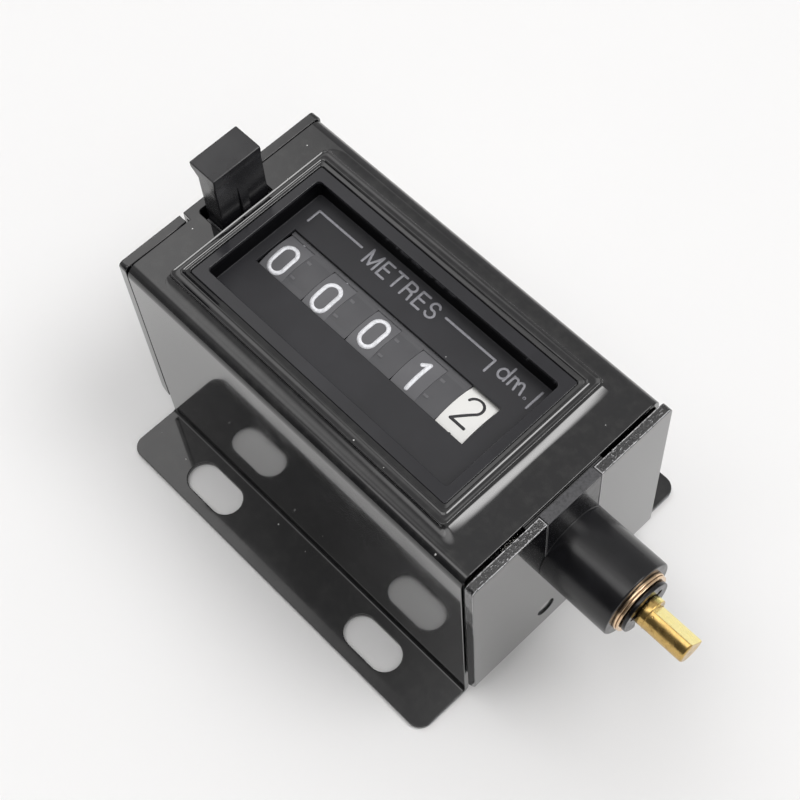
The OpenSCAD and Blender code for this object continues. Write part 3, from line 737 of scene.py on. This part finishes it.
def dial_word(name, text, x0, x1, base, gap, width):
    """A word printed on the dial, its letters spread between x0 and x1."""
    natural = sum(letter(c)[0] for c in text) + gap * (len(text) - 1)
    stretch = (x1 - x0 - width) / natural
    bm = bmesh.new()
    at = x0 + width / 2
    count = 0
    for char in text:
        advance, strokes = letter(char)
        for stroke in strokes:
            placed = [(at + px * stretch, base + width / 2 + py) for px, py in stroke]
            raise_stroke(bm, placed, width, on_dial, 0.02 + 0.0012 * count, -0.02)
            count += 1
        at += (advance + gap) * stretch
    return add_piece(name, finished_mesh(name, bm), "housing", INK_GREY)


dial_lines()
dial_word("dial_metres", "METRES", -12.2, 1.5, 6.4, 0.75, 0.36)
dial_word("dial_dm", "dm.", 13.2, 18.85, 6.6, 0.62, 0.34)


# ---- floor, light and camera ----

def floor_material():
    f = Finish("floor", (0.90, 0.90, 0.90), 0.6)
    f.feed(f.blend(f.noise(60, 3), (0.89, 0.89, 0.89), (0.91, 0.91, 0.91)), "Base Color")
    f.bump(f.noise(1.5, 3, offset=3), 0.01, 0.2)
    return f.material


FLOOR_REACH = 1200
FLOOR_GAP = 0.04               # keeps the floor just under the flanges


def make_floor():
    reach = FLOOR_REACH * MM
    mesh = bpy.data.meshes.new("floor")
    corners = [(-reach, -reach), (reach, -reach), (reach, reach), (-reach, reach)]
    mesh.from_pydata([(x, y, -FLOOR_GAP * MM) for x, y in corners], [], [(0, 1, 2, 3)])
    floor = bpy.data.objects.new("floor", mesh)
    bpy.context.scene.collection.objects.link(floor)
    paint(floor, floor_material())


CAMERA_AZIMUTH = math.radians(51.32)
CAMERA_ELEVATION = math.radians(61.745)
CAMERA_ROLL = math.radians(-5.864)
CAMERA_DISTANCE = 238.3
CAMERA_LENS = 75.47
CAMERA_SENSOR = 36
CAMERA_TARGET = Vector((0, 0, 20.56))
CAMERA_NUDGE = (0.80, 0.87)        # target's shift to the right and up, in mm


def camera_axes():
    az, el = CAMERA_AZIMUTH, CAMERA_ELEVATION
    back = Vector((math.sin(az) * math.cos(el), -math.cos(az) * math.cos(el), math.sin(el)))
    level = Vector((math.cos(az), math.sin(az), 0))
    upright = back.cross(level)
    right = math.cos(CAMERA_ROLL) * level + math.sin(CAMERA_ROLL) * upright
    up = -math.sin(CAMERA_ROLL) * level + math.cos(CAMERA_ROLL) * upright
    return right, up, back


def make_camera():
    right, up, back = camera_axes()
    target = CAMERA_TARGET + right * CAMERA_NUDGE[0] + up * CAMERA_NUDGE[1]
    data = bpy.data.cameras.new("camera")
    data.lens = CAMERA_LENS
    data.sensor_width = CAMERA_SENSOR
    data.clip_start = 0.01
    data.clip_end = 10
    camera = bpy.data.objects.new("camera", data)
    bpy.context.scene.collection.objects.link(camera)
    turn = Matrix((right, up, back)).transposed().to_4x4()
    camera.matrix_world = Matrix.Translation((target + back * CAMERA_DISTANCE) * MM) @ turn
    bpy.context.scene.camera = camera


ROOM = 0.5                     # radiance of the room
GLOWS = [
    # direction, degrees from it where the glow ends and is full, added radiance
    ((-0.60, 0.08, 0.80), 23, 7, 1.1),       # window on the left
    ((0.25, 0.25, 0.94), 50, 10, 0.1),       # ceiling
    ((0.00, -0.15, 0.99), 18, 5, 1.6),       # lamp overhead
    ((0.40, 0.33, 0.85), 19, 0, 6.8),        # lamp on the right
    ((-0.20, -0.40, 0.89), 14, 2, 1.6),      # second window, behind the camera
    ((0.20, -0.93, 0.25), 60, 25, -0.40),    # dark side of the room, behind the camera
]


def make_world():
    """A dim room with a soft window and ceiling."""
    world = bpy.data.worlds.new("studio")
    world.use_nodes = True
    bpy.context.scene.world = world
    tree = world.node_tree
    background = tree.nodes["Background"]
    background.inputs["Color"].default_value = (1.0, 0.99, 0.985, 1.0)
    place = tree.nodes.new("ShaderNodeTexCoord")
    total = None
    for direction, outer, inner, radiance in GLOWS:
        dot = tree.nodes.new("ShaderNodeVectorMath")
        dot.operation = "DOT_PRODUCT"
        dot.inputs[1].default_value = Vector(direction).normalized()
        tree.links.new(place.outputs["Generated"], dot.inputs[0])
        span = tree.nodes.new("ShaderNodeMapRange")
        span.interpolation_type = "SMOOTHSTEP"
        span.inputs["From Min"].default_value = math.cos(math.radians(outer))
        span.inputs["From Max"].default_value = math.cos(math.radians(inner))
        span.inputs["To Min"].default_value = 0.0
        span.inputs["To Max"].default_value = radiance
        tree.links.new(dot.outputs["Value"], span.inputs["Value"])
        add = tree.nodes.new("ShaderNodeMath")
        add.operation = "ADD"
        add.inputs[0].default_value = ROOM
        if total is not None:
            tree.links.new(total, add.inputs[0])
        tree.links.new(span.outputs["Result"], add.inputs[1])
        total = add.outputs["Value"]
    tree.links.new(total, background.inputs["Strength"])


LAMP_SPREAD = 40               # degrees; keeps the light in a pool round the object
LAMP_DISTANCE = 1100
LAMP_SIZE = 600
LAMP_AIM = Vector((0, 0, 20))


def soft_box(name, direction, power):
    """A square area light that looks at the object."""
    data = bpy.data.lights.new(name, "AREA")
    data.shape = "SQUARE"
    data.size = LAMP_SIZE * MM
    data.energy = power
    data.spread = math.radians(LAMP_SPREAD)
    lamp = bpy.data.objects.new(name, data)
    lamp.visible_glossy = False          # the world alone is mirrored in the enamel
    bpy.context.scene.collection.objects.link(lamp)
    aim = Vector(direction).normalized()
    lamp.location = (aim * LAMP_DISTANCE + LAMP_AIM) * MM
    lamp.rotation_euler = aim.to_track_quat("Z", "Y").to_euler()


make_floor()
make_camera()
make_world()
soft_box("key", (-0.62, 0.42, 0.66), 0.110)
soft_box("fill", (0.5, -0.3, 0.8), 0.073)
bpy.context.scene.view_settings.view_transform = "Standard"
bpy.context.scene.view_settings.look = "None"
